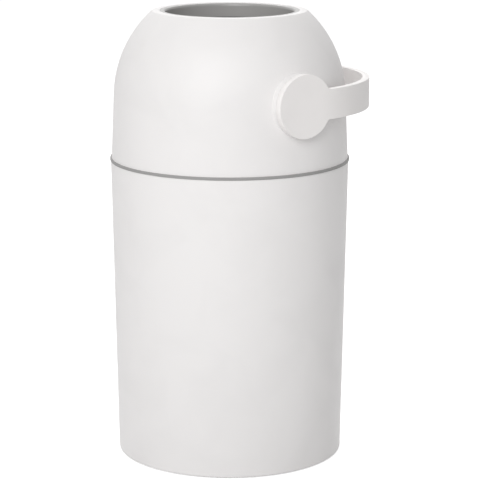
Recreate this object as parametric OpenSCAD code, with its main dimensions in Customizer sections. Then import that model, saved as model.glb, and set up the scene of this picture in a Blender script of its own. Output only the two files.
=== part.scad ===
// Nappy bin with a lift-off dome head and a turning scoop bowl that a U-shaped handle swings over.
// Millimetres. Z is up, the origin is on the floor at the bin's axis, and the front is -Y.
// The handle lies level at the back (+Y) and turns on an axle along X.

/* [Body] */
// Outer radius of the base where it meets the head
body_r = 130; // [126:0.5:156]
// Height of the base, from the floor to the seam ring
base_h = 327; // [272:1:400]
// How much smaller the base's radius is at the floor
base_draw = 6.2; // [2:0.1:10]
// Wall of the base and of the dome
wall = 2.6; // [2:0.1:3.4]
// Rounding of the base's bottom edge
foot_round = 2; // [1:0.1:3]
// How far the base's rim stays off the floor
foot_gap = 1; // [0.5:0.1:2]
// Height of the base's floor above the ground
floor_up = 7; // [5:0.5:12]
// Number of stiffening ribs under the floor
floor_ribs = 8; // [4:1:12]

/* [Feet] */
// Radius of a rubber foot
foot_r = 9; // [7:0.5:11]
// Thickness of a rubber foot
foot_t = 4; // [3:0.5:6]
// Distance of the feet from the bin's axis
foot_ring_r = 103; // [85:1:105]

/* [Seam ring] */
// Thickness of the grey ring that shows at the seam
ring_t = 3; // [2:0.1:4]
// How far the ring stands out past the base
ring_proud = 0.8; // [0.3:0.1:1.2]
// Depth of the ring's skirt inside the base
skirt_h = 30; // [20:1:40]
// Wall of the ring's skirt, spigot and bag lip
ring_wall = 2.2; // [1.8:0.1:2.6]
// Height of the spigot that centres the head
spigot_h = 4; // [3:0.5:6]
// Radius of the opening that the bag hangs through
bag_r = 98; // [92:1:100]
// Depth of the lip that the bag is folded over
bag_lip_h = 12; // [8:1:16]
// How far the bag shelf lies below the head's foot
shelf_drop = 6; // [5:0.5:8]

/* [Head] */
// Height of the head, from the seam ring to the flat top
head_h = 160; // [150:1:195]
// How much smaller the head's foot is than the base's top
head_step = 0.8; // [0:0.1:1.5]
// How much smaller the dome's ball is than the head's foot
dome_draw = 2.9; // [1:0.1:5]
// Width of the white flat ring round the mouth
rim_w = 8.6; // [5:0.1:12]
// Rounding of the dome's edge at the flat top
rim_round = 1.5; // [0.6:0.1:2.5]

/* [Throat] */
// Inner radius of the throat that the nappy goes through
throat_r = 69.7; // [58:0.1:84]
// Width of the throat's grey lip
lip_w = 5.7; // [5:0.1:8]
// Rounding of the lip's inner edge
lip_round = 3; // [1.5:0.1:3.5]
// Thickness of the lip where it lies in the dome's ledge
lip_t = 2.9; // [2:0.1:4]
// Wall of the throat liner
liner_wall = 1.7; // [1.4:0.1:2]
// Number of snap hooks that hold the liner
liner_hooks = 4; // [3:1:6]

/* [Scoop bowl] */
// Outer radius of the bowl's ball, which passes the seals
bowl_r = 99; // [82:0.5:100]
// Wall of the bowl
bowl_wall = 2.4; // [2:0.1:3]
// Depth of the bowl's flat bottom below the axle
bowl_depth = 80; // [68:1:82]
// Rounding between the bowl's ball and its flat bottom
bowl_round = 14; // [8:1:18]
// Radius of the rounded bead along the bowl's rim
bead_r = 2; // [1.6:0.1:2.4]
// Height of the bowl's rim above the axle
bowl_rim = 28; // [27:0.5:32]
// Radius of the round ears that the axles hold
ear_r = 24; // [22:0.5:24]
// Thickness of an ear
ear_t = 10; // [8:0.5:12]

/* [Seals] */
// Thickness of the rubber lips that wipe the bowl
seal_t = 2.2; // [1.6:0.1:3]
// How much wider the drop hole is than the throat, in radius
drop_extra = 7.3; // [5:0.1:8]

/* [Axle] */
// Height of the axle above the head's foot
pivot_up = 71; // [68:0.5:75]
// Radius of the axle's journal
journal_r = 14; // [12:0.5:14]
// Running clearance of the journal in its bush
journal_fit = 0.05; // [0.02:0.01:0.1]
// Wall of the bush
bush_wall = 2.9; // [2:0.1:4]
// Thickness of the bush's flange and of the slip washer beside it
flange_t = 1.6; // [1.2:0.1:2]
// Side of the axle's square end in the handle
tang_w = 16; // [13:0.5:16]
// Corner radius of the axle's six-sided flange in the bowl's ear
hex_r = 18.8; // [17:0.1:20]
// Radius of the screws that hold the handle, bowl and axles together
hub_screw_r = 2; // [1.5:0.1:2.5]

/* [Handle] */
// Radius of the handle's round hub discs
disc_r = 33.85; // [30:0.05:36]
// Thickness of the handle
handle_t = 7.5; // [6:0.1:9]
// Width of the handle's band
handle_w = 32; // [26:0.5:38.5]
// Length of the band's straight arms, from the axle
arm_l = 21; // [16:0.5:30]
// Radius of the hollow corners between a hub disc and the band
handle_fillet = 4; // [2:0.5:8]
// How far the flat land behind a hub disc stands out past the dome's ball, unless the cone below is wider
land_proud = 1.4; // [1:0.1:3]
// Gap between the hub disc and the land
disc_gap = 0.3; // [0.3:0.1:0.8]

/* [Deck] */
// Thickness of the deck under the bowl
deck_t = 2.6; // [2:0.1:3]
// Height of the deck's ribs
deck_rib_h = 5; // [3:0.5:6]
// Number of screws that hold the deck in the dome
deck_screws_n = 6; // [6:6:12]
// Radius of the deck's screws
deck_screw_r = 2; // [1.5:0.1:2.5]
// Thickness of the rubber bumpers that the bowl's stop lugs land on
bumper_t = 3; // [2:0.5:4]

/* [Hidden] */
$fn = 96;

// Gap between moving pieces that don't fit into each other, and in a parting line
gap = 0.3;
// Gap between still pieces that are pushed into each other
snug = 0.05;
// Clearance of the ring in the base and of the head on the ring
seat_fit = 0.4;
// How far a cutting shape runs past what it cuts
past = 1;
// Thickness of the stiffening ribs and gussets
rib_w = 2;

LEFT = -1;
RIGHT = 1;
SIDES = [LEFT, RIGHT];

// Heights of the head's foot, its flat top, the axle and the shelf of the bag ring
head_z = base_h + ring_t;
head_top = head_z + head_h;
pivot_z = head_z + pivot_up;
shelf_z = head_z - shelf_drop;

// Radii of the base, the ring and the head, and the centre height of the dome's ball
base_foot_r = body_r - base_draw;
ring_r = body_r + ring_proud;
head_foot_r = body_r - head_step;
dome_r = head_foot_r - dome_draw;
lip_r = throat_r + lip_w;
rim_r = lip_r + rim_w;
dome_z = head_top - over(dome_r, rim_r);
spigot_r = head_foot_r - wall - seat_fit;

// The lands on either side of the dome, and the hub discs of the handle beside them
land_x = max(dome_r + land_proud, head_r(pivot_z - disc_r));
land_root = over(dome_r - wall, pivot_z + disc_r - dome_z) + snug;
disc_in = land_x + disc_gap;
disc_out = disc_in + handle_t;

// Stations along the axle, from the bowl's ear out to the handle
ear_proud = 4;
ear_out = bowl_r + ear_proud;
ear_in = ear_out - ear_t;
hex_t = 4;
washer_out = ear_out + flange_t;
flange_in = washer_out + gap;
sleeve_in = flange_in + flange_t;
journal_out = land_x + snug;
tang_l = handle_t / 2;
bush_r = journal_r + journal_fit + bush_wall;
sleeve_wall = 3.6;
sleeve_r = bush_r + snug + sleeve_wall;

// The screw and its washer inside the axle, the cap over them, and the handle's post that it bites in
screw_depth = 12;
screw_seat = ear_in + screw_depth;
hub_washer_r = 6;
hub_washer_t = 1;
hub_head_r = 3.8;
hub_head_t = 2.8;
cap_r = 8.1;
cap_t = 3;
cap_head_r = 9.6;
cap_head_t = 1.2;
cap_wall = 1.5;
post_r = 6.5;
post_l = 10;
post_in = disc_in - post_l;

// The deck, the screws that hold it and the posts that stop the bowl's lugs
drop_r = throat_r + drop_extra;
cuff_r = drop_r + wall + snug + seal_t;
deck_z = head_z + 2 * gap;
deck_top = deck_z + deck_t;
deck_r = spigot_r - ring_wall - seat_fit;
deck_screw_l = 12;
deck_head_h = 2.2;
boss_r = 4.4;
boss_h = 18;
boss_inset = 9.5;
screw_ring_r = head_r(deck_top) - wall - boss_inset;
post_x = bowl_r + gap;
post_w = 5;
post_y = ear_r + 4 * gap;
lug_l = 9;
lug_h = 10;
bumper_l = lug_l - past;
bumper_z = pivot_z - lug_h / 2 - gap - bumper_t;

// The liner and the collar round it, whose feet follow the bowl's ball one seal's thickness outside it
liner_ball_r = bowl_r + gap + seal_t;
lip_ledge = 1.1;
liner_out_r = lip_r - lip_ledge;
collar_r = liner_out_r + gap;
hook_h = 3;
hook_w = 14;
hook_l = 1.5;
liner_foot_z = pivot_z + over(liner_ball_r, liner_out_r);
collar_z = liner_foot_z + hook_h + gap;
stem_h = 9;

// Height of a ball's surface above its centre, at a distance from its vertical axis
function over(ball, off) = sqrt(pow(ball, 2) - pow(off, 2));

// Outer radius of the base at a height
function base_r(z) = base_foot_r + base_draw * z / base_h;

// Angle above level at which the dome's cone touches its ball, for a surface that lies a skin inside
function touch_angle(skin) =
    let (foot = [head_foot_r - skin, dome_z - head_z])
    acos((dome_r - skin) / norm(foot)) - atan2(foot[1], foot[0]);

// The point where they touch
function touch_point(skin) =
    let (a = touch_angle(skin))
    [(dome_r - skin) * cos(a), dome_z + (dome_r - skin) * sin(a)];

// Outer radius of the head at a height on its cone
function head_r(z) =
    let (top = touch_point(0))
    head_foot_r + (top[0] - head_foot_r) * (z - head_z) / (top[1] - head_z);

// Puts a shape that runs along +Z on the axle, pointing out to one side
module on_axle(side) {
    translate([0, 0, pivot_z]) rotate([0, side * 90, 0]) children();
}

// Rods, tubes, and square and six-sided blocks on the axle, between two distances from the bin's middle
module axle_rod(from, to, r) {
    translate([0, 0, from]) cylinder(h = to - from, r = r);
}

module axle_tube(from, to, r, bore) {
    difference() {
        axle_rod(from, to, r);
        axle_rod(from - past, to + past, bore);
    }
}

module axle_square(from, to, w) {
    translate([-w / 2, -w / 2, from]) cube([w, w, to - from]);
}

module axle_hex(from, to, r) {
    translate([0, 0, from]) cylinder(h = to - from, r = r, $fn = 6);
}

// A box in the half plane of a turned profile, from one radius and height to another
module band(r1, r2, z1, z2) {
    translate([r1, z1]) square([r2 - r1, z2 - z1]);
}

// All that lies under the line from the origin through a point, as far as a reach
module below_ray(point, reach) {
    far = 2 * reach * point / norm(point);
    polygon([[0, 0], far, [far[0], -reach], [0, -reach]]);
}

// Half outline of a ball with a flat top at a reach above its centre and a rounded shoulder
module capped_ball(r, reach, round) {
    shoulder = [over(r - round, reach - round), reach - round];
    band(0, shoulder[0], 0, reach);
    translate(shoulder) circle(r = round);
    intersection() {
        circle(r = r);
        below_ray(shoulder, 2 * r);
    }
}

// Base

module base_profile() {
    low = foot_gap + foot_round;
    rim_out = base_foot_r - foot_round;
    polygon([
        [base_foot_r - wall, low],
        [base_r(low), low],
        [body_r, base_h],
        [body_r - wall, base_h]
    ]);
    translate([base_r(low) - foot_round, low]) circle(r = foot_round);
    band(rim_out - wall, rim_out, foot_gap, floor_up + wall);
    band(0, base_foot_r - wall / 2, floor_up, floor_up + wall);
}

module foot_places() {
    for (turn = [45:90:315])
        rotate(turn) translate([foot_ring_r, 0]) children();
}

module base_shell() {
    rib_hub_r = 14;
    color("whitesmoke")
    difference() {
        union() {
            rotate_extrude() base_profile();
            for (i = [0:floor_ribs - 1])
                rotate(i * 360 / floor_ribs)
                    translate([0, -rib_w / 2, foot_gap + foot_round])
                        cube([base_foot_r - wall - foot_round, rib_w, floor_up - foot_round]);
            cylinder(h = floor_up + wall / 2, r = rib_hub_r);
            foot_places() translate([0, 0, foot_gap + foot_round / 2])
                cylinder(h = floor_up - foot_gap, r = foot_r + wall);
        }
        foot_places() translate([0, 0, -past]) cylinder(h = foot_t + past, r = foot_r + snug);
    }
}

module rubber_feet() {
    edge = 0.6;
    color("dimgray")
    foot_places() {
        cylinder(h = edge, r1 = foot_r - edge, r2 = foot_r);
        translate([0, 0, edge]) cylinder(h = foot_t - edge, r = foot_r);
    }
}

// Ring that holds the bag, shows at the seam and centres the head

module ring_profile() {
    edge = 0.5;
    skirt_r = base_r(base_h - skirt_h) - wall - seat_fit;
    skirt_in = min(skirt_r, spigot_r) - ring_wall;
    band(skirt_in, ring_r - edge, base_h, head_z);
    band(skirt_in, ring_r, base_h + edge, head_z - edge);
    for (z = [base_h + edge, head_z - edge])
        translate([ring_r - edge, z]) circle(r = edge);
    band(skirt_in, spigot_r, base_h, head_z + spigot_h - edge);
    band(skirt_in, spigot_r - edge, base_h, head_z + spigot_h);
    translate([spigot_r - edge, head_z + spigot_h - edge]) circle(r = edge);
    band(skirt_in, skirt_r, base_h - skirt_h, base_h + edge);
    band(bag_r + ring_wall / 2, skirt_in + edge, shelf_z - ring_wall, shelf_z);
    band(bag_r, bag_r + ring_wall, shelf_z - bag_lip_h, shelf_z - ring_wall / 2);
    for (z = [shelf_z - bag_lip_h, shelf_z - ring_wall / 2])
        translate([bag_r + ring_wall / 2, z]) circle(r = ring_wall / 2);
}

module bag_ring() {
    color("darkgray") rotate_extrude() ring_profile();
}

// Dome

module dome_half(skin) {
    touch = touch_point(skin);
    foot = head_foot_r - skin;
    intersection() {
        union() {
            translate([0, dome_z])
                capped_ball(dome_r - skin, head_top - skin - dome_z, rim_round);
            polygon([
                [0, head_z - skin],
                [foot, head_z - skin],
                [foot, head_z],
                touch,
                [0, touch[1]]
            ]);
        }
        band(0, body_r, head_z - skin, head_top - skin);
    }
}

module dome_profile() {
    difference() {
        union() {
            difference() {
                dome_half(0);
                dome_half(wall);
            }
            band(collar_r, collar_r + wall, collar_z, head_top - wall / 2);
        }
        band(0, collar_r, collar_z - past, head_top + past);
        band(0, lip_r + gap, head_top - lip_t, head_top + past);
    }
}

// Tube for the bush, with gussets that tie it to the land
module bearing_sleeve() {
    gusset_l = land_x - land_root + wall;
    axle_rod(sleeve_in, land_x - wall / 2, sleeve_r);
    for (turn = [45:90:315])
        rotate(turn) translate([sleeve_r - wall, -rib_w / 2, land_x - wall / 2 - gusset_l])
            cube([disc_r - sleeve_r + wall / 2, rib_w, gusset_l]);
}

module deck_screw_places() {
    for (i = [0:deck_screws_n - 1])
        rotate((i + 0.5) * 360 / deck_screws_n) translate([screw_ring_r, 0]) children();
}

// Boss for a deck screw, with the web that ties it to the dome's wall
module deck_boss() {
    web_z = max(deck_top, head_z + spigot_h + gap);
    web_top = deck_top + boss_h;
    translate([0, 0, deck_top]) cylinder(h = boss_h, r = boss_r);
    translate([0, -rib_w / 2, web_z])
        cube([head_r(web_top) - wall / 2 - screw_ring_r, rib_w, web_top - web_z]);
}

module dome_shell() {
    color("whitesmoke")
    difference() {
        union() {
            difference() {
                union() {
                    rotate_extrude() dome_profile();
                    for (side = SIDES) on_axle(side) axle_rod(land_root, land_x, disc_r);
                }
                for (side = SIDES)
                    on_axle(side) axle_rod(land_root - past, land_x - wall, disc_r - wall);
            }
            for (side = SIDES) on_axle(side) bearing_sleeve();
            deck_screw_places() deck_boss();
        }
        for (side = SIDES) on_axle(side) axle_rod(sleeve_in - past, land_x + past, bush_r + snug);
        deck_screw_places() translate([0, 0, deck_top - past])
            cylinder(h = deck_screw_l + past, r = deck_screw_r + snug);
    }
}

// Throat

module liner_profile() {
    corner = [throat_r + lip_round, head_top - lip_round];
    low = pivot_z;
    channel_in = throat_r + liner_wall;
    channel_out = liner_out_r - liner_wall;
    difference() {
        intersection() {
            union() {
                translate(corner) circle(r = lip_round);
                band(throat_r, liner_out_r, low, corner[1]);
                band(corner[0], lip_r, head_top - lip_t, head_top);
            }
            band(throat_r, lip_r, low, head_top);
        }
        band(liner_out_r, lip_r + past, low, head_top - lip_t);
        band(channel_in, channel_out, low, head_top - lip_t);
        translate([0, pivot_z]) circle(r = liner_ball_r);
    }
}

module throat_liner() {
    color("darkgray") {
        rotate_extrude() liner_profile();
        for (i = [0:liner_hooks - 1])
            rotate((i + 0.5) * 360 / liner_hooks)
                intersection() {
                    rotate_extrude() difference() {
                        band(liner_out_r - liner_wall / 2, collar_r + hook_l,
                            liner_foot_z + gap, liner_foot_z + hook_h);
                        translate([0, pivot_z]) circle(r = liner_ball_r);
                    }
                    translate([0, -hook_w / 2, liner_foot_z]) cube([rim_r, hook_w, hook_h]);
                }
    }
}

// Rubber lip in the liner's channel, one gap outside the bowl's ball
module throat_seal() {
    stem_in = throat_r + liner_wall + snug;
    stem_out = liner_out_r - liner_wall - snug;
    color("dimgray")
    rotate_extrude()
        difference() {
            union() {
                intersection() {
                    translate([0, pivot_z]) circle(r = liner_ball_r - snug);
                    band(throat_r + gap, liner_out_r, pivot_z, head_top);
                }
                band(stem_in, stem_out, pivot_z + over(bowl_r + gap, stem_out),
                    pivot_z + over(liner_ball_r, stem_in) + stem_h);
            }
            translate([0, pivot_z]) circle(r = bowl_r + gap);
        }
}

// Deck under the bowl, with the drop hole and the posts that stop the bowl

module stop_posts() {
    post_foot = 12;
    for (side = SIDES, way = [-1, 1])
        translate([side * (post_x + post_w / 2) - post_w / 2, 0, 0])
            rotate([90, 0, 90])
                linear_extrude(height = post_w)
                    polygon([
                        [way * post_y, deck_z],
                        [way * post_y, bumper_z],
                        [way * (post_y + bumper_l), bumper_z],
                        [way * (post_y + lug_l + post_foot), deck_z]
                    ]);
}

module deck_profile() {
    difference() {
        union() {
            band(drop_r, deck_r, deck_z, deck_top);
            band(drop_r, drop_r + wall, deck_z, pivot_z);
        }
        translate([0, pivot_z]) circle(r = liner_ball_r);
    }
}

module rotor_deck() {
    color("darkgray")
    difference() {
        union() {
            rotate_extrude() deck_profile();
            for (i = [0:deck_screws_n - 1])
                rotate(i * 360 / deck_screws_n)
                    translate([cuff_r + gap, -rib_w / 2, deck_z])
                        cube([deck_r - cuff_r - wall, rib_w, deck_t + deck_rib_h]);
            stop_posts();
        }
        deck_screw_places() translate([0, 0, deck_z - past])
            cylinder(h = deck_t + 2 * past, r = deck_screw_r + 2 * snug);
    }
}

// Rubber lip over the edge of the drop hole's collar
module drop_seal() {
    lip_in = drop_r - seal_t * 1.5;
    collar_top = pivot_z - over(liner_ball_r, drop_r + wall);
    cuff_top = pivot_z - max(over(liner_ball_r, cuff_r), ear_r + gap);
    color("dimgray")
    rotate_extrude()
        difference() {
            band(lip_in, cuff_r, deck_top, cuff_top);
            translate([0, pivot_z]) circle(r = bowl_r + gap);
            difference() {
                band(drop_r - snug, drop_r + wall + snug, deck_z, collar_top);
                translate([0, pivot_z]) circle(r = liner_ball_r - snug);
            }
        }
}

module head_gasket() {
    inset = 5;
    gasket_w = 4;
    color("dimgray")
    rotate_extrude() band(bag_r + inset, bag_r + inset + gasket_w, shelf_z + gap, deck_z);
}

module deck_screws() {
    color("silver")
    deck_screw_places() {
        translate([0, 0, deck_z - deck_head_h]) cylinder(h = deck_head_h, r = 2 * deck_screw_r);
        translate([0, 0, deck_z]) cylinder(h = deck_t + deck_screw_l - past, r = deck_screw_r);
    }
}

module stop_bumpers() {
    color("dimgray")
    for (side = SIDES, way = [-1, 1])
        translate([side * (post_x + post_w / 2), way * (post_y + bumper_l / 2), bumper_z + bumper_t / 2])
            cube([post_w, bumper_l, bumper_t], center = true);
}

module bearing_bush(side) {
    color("gainsboro")
    on_axle(side)
    difference() {
        union() {
            axle_rod(flange_in, sleeve_in, sleeve_r);
            axle_rod(flange_in, land_x - gap, bush_r);
        }
        axle_rod(flange_in - past, land_x + past, journal_r + journal_fit);
    }
}

// Bowl

module bowl_half(skin) {
    mirror([0, 1]) capped_ball(bowl_r - skin, bowl_depth - skin, bowl_round - skin);
}

module bowl_profile() {
    bead = [over(bowl_r - bead_r, bowl_rim - bead_r), bowl_rim - bead_r];
    intersection() {
        difference() {
            bowl_half(0);
            bowl_half(bowl_wall);
        }
        below_ray(bead, bowl_r * 2);
    }
    translate(bead) circle(r = bead_r);
}

// Lug beside an ear, which lands on a bumper at each end of the swing
module stop_lug(side) {
    root = ear_r - 2 * bowl_wall;
    lug_w = ear_proud + 2 * bowl_wall;
    translate([side * (ear_out - lug_w / 2), (root + post_y + bumper_l) / 2, pivot_z])
        cube([lug_w, post_y + bumper_l - root, lug_h], center = true);
}

module scoop_bowl() {
    color("darkgray")
    difference() {
        union() {
            translate([0, 0, pivot_z]) rotate_extrude() bowl_profile();
            for (side = SIDES) {
                on_axle(side) axle_rod(ear_in, ear_out, ear_r);
                stop_lug(side);
            }
        }
        for (side = SIDES) on_axle(side) {
            axle_rod(ear_in - past, ear_out + past, journal_r + snug);
            axle_hex(ear_in - past, ear_in + hex_t, hex_r + gap);
        }
    }
}

// Axle, pushed out from inside the bowl through the ear and the bush into the handle
module axle(side) {
    color("gainsboro")
    on_axle(side)
    difference() {
        union() {
            axle_hex(ear_in + gap, ear_in + hex_t, hex_r);
            axle_rod(ear_in + gap, journal_out, journal_r);
            axle_square(journal_out - past, disc_in + tang_l - gap, tang_w);
        }
        axle_rod(ear_in - past, screw_seat, cap_r + snug);
        axle_rod(screw_seat - past, post_in, hub_screw_r + gap);
        axle_rod(post_in - gap, disc_out, post_r + gap);
    }
}

module slip_washer(side) {
    color("gainsboro") on_axle(side) axle_tube(ear_out, washer_out, sleeve_r, journal_r + gap);
}

module hub_screw(side) {
    color("silver")
    on_axle(side) {
        axle_rod(screw_seat - hub_washer_t - hub_head_t, screw_seat - hub_washer_t, hub_head_r);
        axle_rod(screw_seat - hub_washer_t, disc_in, hub_screw_r);
    }
}

module hub_washer(side) {
    color("silver")
    on_axle(side) axle_tube(screw_seat - hub_washer_t, screw_seat, hub_washer_r, hub_screw_r + gap);
}

module hub_cap(side) {
    color("darkgray")
    on_axle(side)
    difference() {
        union() {
            axle_rod(ear_in + gap - cap_head_t, ear_in + gap, cap_head_r);
            axle_rod(ear_in + gap, ear_in + gap + cap_t, cap_r);
        }
        axle_rod(ear_in + gap, ear_in + gap + cap_t + past, cap_r - cap_wall);
    }
}

// Handle, whose band and hub discs are one moulding with a screw post inside each disc

// Outline seen from above, between the band's two ends and a half circle behind them
module handle_plan(half) {
    reach = disc_r + past;
    translate([-half, -reach]) square([2 * half, reach + arm_l]);
    translate([0, arm_l]) circle(r = half);
}

// Outline seen from the side: the disc at the origin, the band from there along the first axis
module handle_side() {
    corner_z = handle_w / 2 + handle_fillet;
    corner = [over(disc_r + handle_fillet, corner_z), corner_z];
    circle(r = disc_r);
    translate([0, -handle_w / 2]) square([arm_l + disc_out + past, handle_w]);
    for (way = [0, 1])
        mirror([0, way]) difference() {
            polygon([[0, 0], corner, [corner[0], 0]]);
            translate(corner) circle(r = handle_fillet);
        }
}

// Room for the axle's square end, and for the land behind the disc where the band curves in
module hub_recess() {
    axle_square(disc_in - past, disc_in + tang_l, tang_w + 2 * gap);
    axle_rod(post_in, disc_in, disc_r + 2 * gap);
}

module screw_post() {
    difference() {
        axle_rod(post_in, disc_in + tang_l + snug, post_r);
        axle_rod(post_in - past, disc_in + past, hub_screw_r + snug);
    }
}

module handle() {
    color("whitesmoke") {
        difference() {
            intersection() {
                translate([0, 0, pivot_z - disc_r - past])
                    linear_extrude(height = 2 * (disc_r + past))
                        difference() {
                            handle_plan(disc_out);
                            handle_plan(disc_in);
                        }
                translate([-disc_out - past, 0, pivot_z]) rotate([90, 0, 90])
                    linear_extrude(height = 2 * (disc_out + past)) handle_side();
            }
            for (side = SIDES) on_axle(side) hub_recess();
        }
        for (side = SIDES) on_axle(side) screw_post();
    }
}

base_shell();
rubber_feet();
bag_ring();
dome_shell();
throat_liner();
throat_seal();
rotor_deck();
drop_seal();
head_gasket();
deck_screws();
stop_bumpers();
bearing_bush(LEFT);  // bearing_bush_left
bearing_bush(RIGHT);  // bearing_bush_right
scoop_bowl();
axle(LEFT);  // axle_left
axle(RIGHT);  // axle_right
slip_washer(LEFT);  // slip_washer_left
slip_washer(RIGHT);  // slip_washer_right
handle();
hub_screw(LEFT);  // hub_screw_left
hub_screw(RIGHT);  // hub_screw_right
hub_washer(LEFT);  // hub_washer_left
hub_washer(RIGHT);  // hub_washer_right
hub_cap(LEFT);  // hub_cap_left
hub_cap(RIGHT);  // hub_cap_right
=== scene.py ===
"""Nappy bin with a lift-off dome head, a turning scoop bowl and a U-shaped swing handle.

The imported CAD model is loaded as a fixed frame. This script gives its nodes their finishes, makes the
pieces that repeat or follow a rule with Geometry Nodes, and sets up the camera, lamps and floor.
Everything is in metres, with the origin on the floor at the bin's axis and the front at -Y.
"""

import math

import bmesh
import bpy
from bpy.props import FloatProperty
from bpy.props import FloatVectorProperty
from bpy.props import IntProperty
from bpy.props import PointerProperty
from mathutils import Euler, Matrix
from mathutils import Vector


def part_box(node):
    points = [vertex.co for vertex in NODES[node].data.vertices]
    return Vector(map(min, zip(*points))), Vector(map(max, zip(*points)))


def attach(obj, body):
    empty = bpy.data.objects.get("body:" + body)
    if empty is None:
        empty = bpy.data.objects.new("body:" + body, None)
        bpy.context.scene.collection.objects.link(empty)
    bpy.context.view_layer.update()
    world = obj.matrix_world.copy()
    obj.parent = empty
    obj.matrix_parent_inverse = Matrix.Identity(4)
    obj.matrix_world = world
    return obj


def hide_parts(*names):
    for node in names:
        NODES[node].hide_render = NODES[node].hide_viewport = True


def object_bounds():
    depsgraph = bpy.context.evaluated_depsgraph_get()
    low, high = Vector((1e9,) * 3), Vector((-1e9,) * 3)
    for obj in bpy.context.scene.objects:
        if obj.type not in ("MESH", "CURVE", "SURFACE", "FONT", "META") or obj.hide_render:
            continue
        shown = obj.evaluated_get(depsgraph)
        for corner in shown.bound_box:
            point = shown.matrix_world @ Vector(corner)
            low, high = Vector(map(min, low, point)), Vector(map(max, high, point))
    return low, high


bl_info = {
    "name": "Nappy Bin",
    "version": (1, 0, 0),
    "blender": (4, 5, 0),
    "location": "3D View > Sidebar > Nappy Bin",
    "description": "Finishes a nappy bin that stands on its packed CAD frame",
    "category": "Object",
}

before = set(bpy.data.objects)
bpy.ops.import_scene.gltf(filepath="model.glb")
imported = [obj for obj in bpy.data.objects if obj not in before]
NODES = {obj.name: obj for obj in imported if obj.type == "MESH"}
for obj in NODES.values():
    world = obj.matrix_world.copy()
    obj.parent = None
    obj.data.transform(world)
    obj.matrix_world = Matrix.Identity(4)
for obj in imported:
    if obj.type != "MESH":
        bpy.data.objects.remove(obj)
CAD_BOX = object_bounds()

MM = 0.001

# How near two points, or a point and a surface, count as one
SAME_POINT = 0.001 * MM
SWEPT_POINT = 0.01 * MM
ON_SURFACE = 0.1 * MM
ON_BAND = 0.15 * MM

# Angles between faces: flat, alike in shading, still smooth, and sharp enough to be eased
FLAT = math.radians(0.2)
ALIKE = math.radians(20)
CREASE = math.radians(32)
CORNER = math.radians(35)

# The first foot stands halfway between the right side and the back, and each has a little room
FIRST_FOOT = math.radians(45)
FOOT_ROOM = 0.05 * MM

# The studio floor reaches past every view, and lies just under the feet
FLOOR_HALF = 12.0
FLOOR_BELOW = 0.1 * MM


# Sizes and colours that a user would change

def length(name, description, millimetres):
    """A length property, given in millimetres."""
    return FloatProperty(
        name=name,
        description=description,
        default=millimetres * MM,
        min=0.0,
        unit="LENGTH",
        precision=5,
    )


def angle(name, description, degrees):
    """An angle property, given in degrees."""
    return FloatProperty(
        name=name, description=description, default=math.radians(degrees), subtype="ANGLE"
    )


def colour(name, description, value):
    """A colour property with linear values."""
    return FloatVectorProperty(
        name=name, description=description, subtype="COLOR", size=3, min=0, max=1, default=value
    )


def share(name, description, value):
    """A property from 0 to 1."""
    return FloatProperty(
        name=name, description=description, default=value, min=0, max=1, subtype="FACTOR"
    )


class NAPPYBIN_PG_finish(bpy.types.PropertyGroup):
    """Colours, gloss and grain of the plastics, rubber and steel"""

    white: colour("White plastic", "Colour of the base and the dome", (0.856, 0.839, 0.834))
    # Painted light: the handle's white is lighter than the base's white to stand in for the extra light
    # that falls on the handle
    handle: colour("Handle plastic", "Colour of the handle", (0.918, 0.893, 0.882))
    white_roughness: share("White roughness", "Roughness of the white plastic", 0.5)
    grey: colour("Grey plastic", "Colour of the throat, bowl and deck", (0.385, 0.378, 0.37))
    grey_roughness: share("Grey roughness", "Roughness of the grey plastic", 0.3)
    ring: colour("Ring plastic", "Colour of the ring at the seam", (0.342, 0.337, 0.333))
    ring_roughness: share("Ring roughness", "Roughness of the ring at the seam", 0.55)
    rubber: colour("Rubber", "Colour of the feet, seals and bumpers", (0.045, 0.045, 0.047))
    bearing: colour("Bearing plastic", "Colour of the axles and bushes", (0.72, 0.71, 0.67))
    steel: colour("Steel", "Colour of the zinc-plated screws", (0.62, 0.62, 0.63))
    grain: length("Grain size", "Size of the moulded grain", 0.9)
    smudge: length("Smudge size", "Size of the faint marks that hands leave", 60)


class NAPPYBIN_PG_base(bpy.types.PropertyGroup):
    """Sizes of the turned base"""

    wall: length("Wall", "Thickness of the side wall and the floor", 2.6)
    draft: length("Draft", "How much smaller the radius is at the floor", 6.2)
    rim_up: length("Rim height", "Height of the bottom rim above the ground", 1)
    floor_up: length("Floor height", "Height of the floor's underside", 7)
    bottom_round: length("Bottom rounding", "Rounding of the bottom edge", 2)
    edge_round: length("Edge rounding", "Rounding of the other edges", 0.5)
    ribs: IntProperty(name="Ribs", description="Number of ribs under the floor", default=8, min=3)
    rib_w: length("Rib width", "Thickness of a rib", 2)
    hub_r: length("Rib hub", "Radius of the boss where the ribs meet", 14)


class NAPPYBIN_PG_head(bpy.types.PropertyGroup):
    """Sizes of the dome and the handle that their smooth shading follows"""

    ball_r: length("Ball", "Radius of the dome's ball", 126.3)
    rim_r: length("Rim", "Outer radius of the flat ring round the mouth", 84)
    handle_t: length("Handle thickness", "Thickness of the handle", 7.5)


class NAPPYBIN_PG_feet(bpy.types.PropertyGroup):
    """Sizes of the rubber feet and the sockets that hold them"""

    circle: length("Circle", "Distance of the feet from the axis", 103)
    radius: length("Radius", "Radius of a foot", 9)
    thickness: length("Thickness", "Thickness of a foot", 4)
    groove: length("Groove", "Depth of the rings in the tread", 0.4)
    count: IntProperty(name="Feet", description="Number of feet", default=4, min=3)


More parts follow.
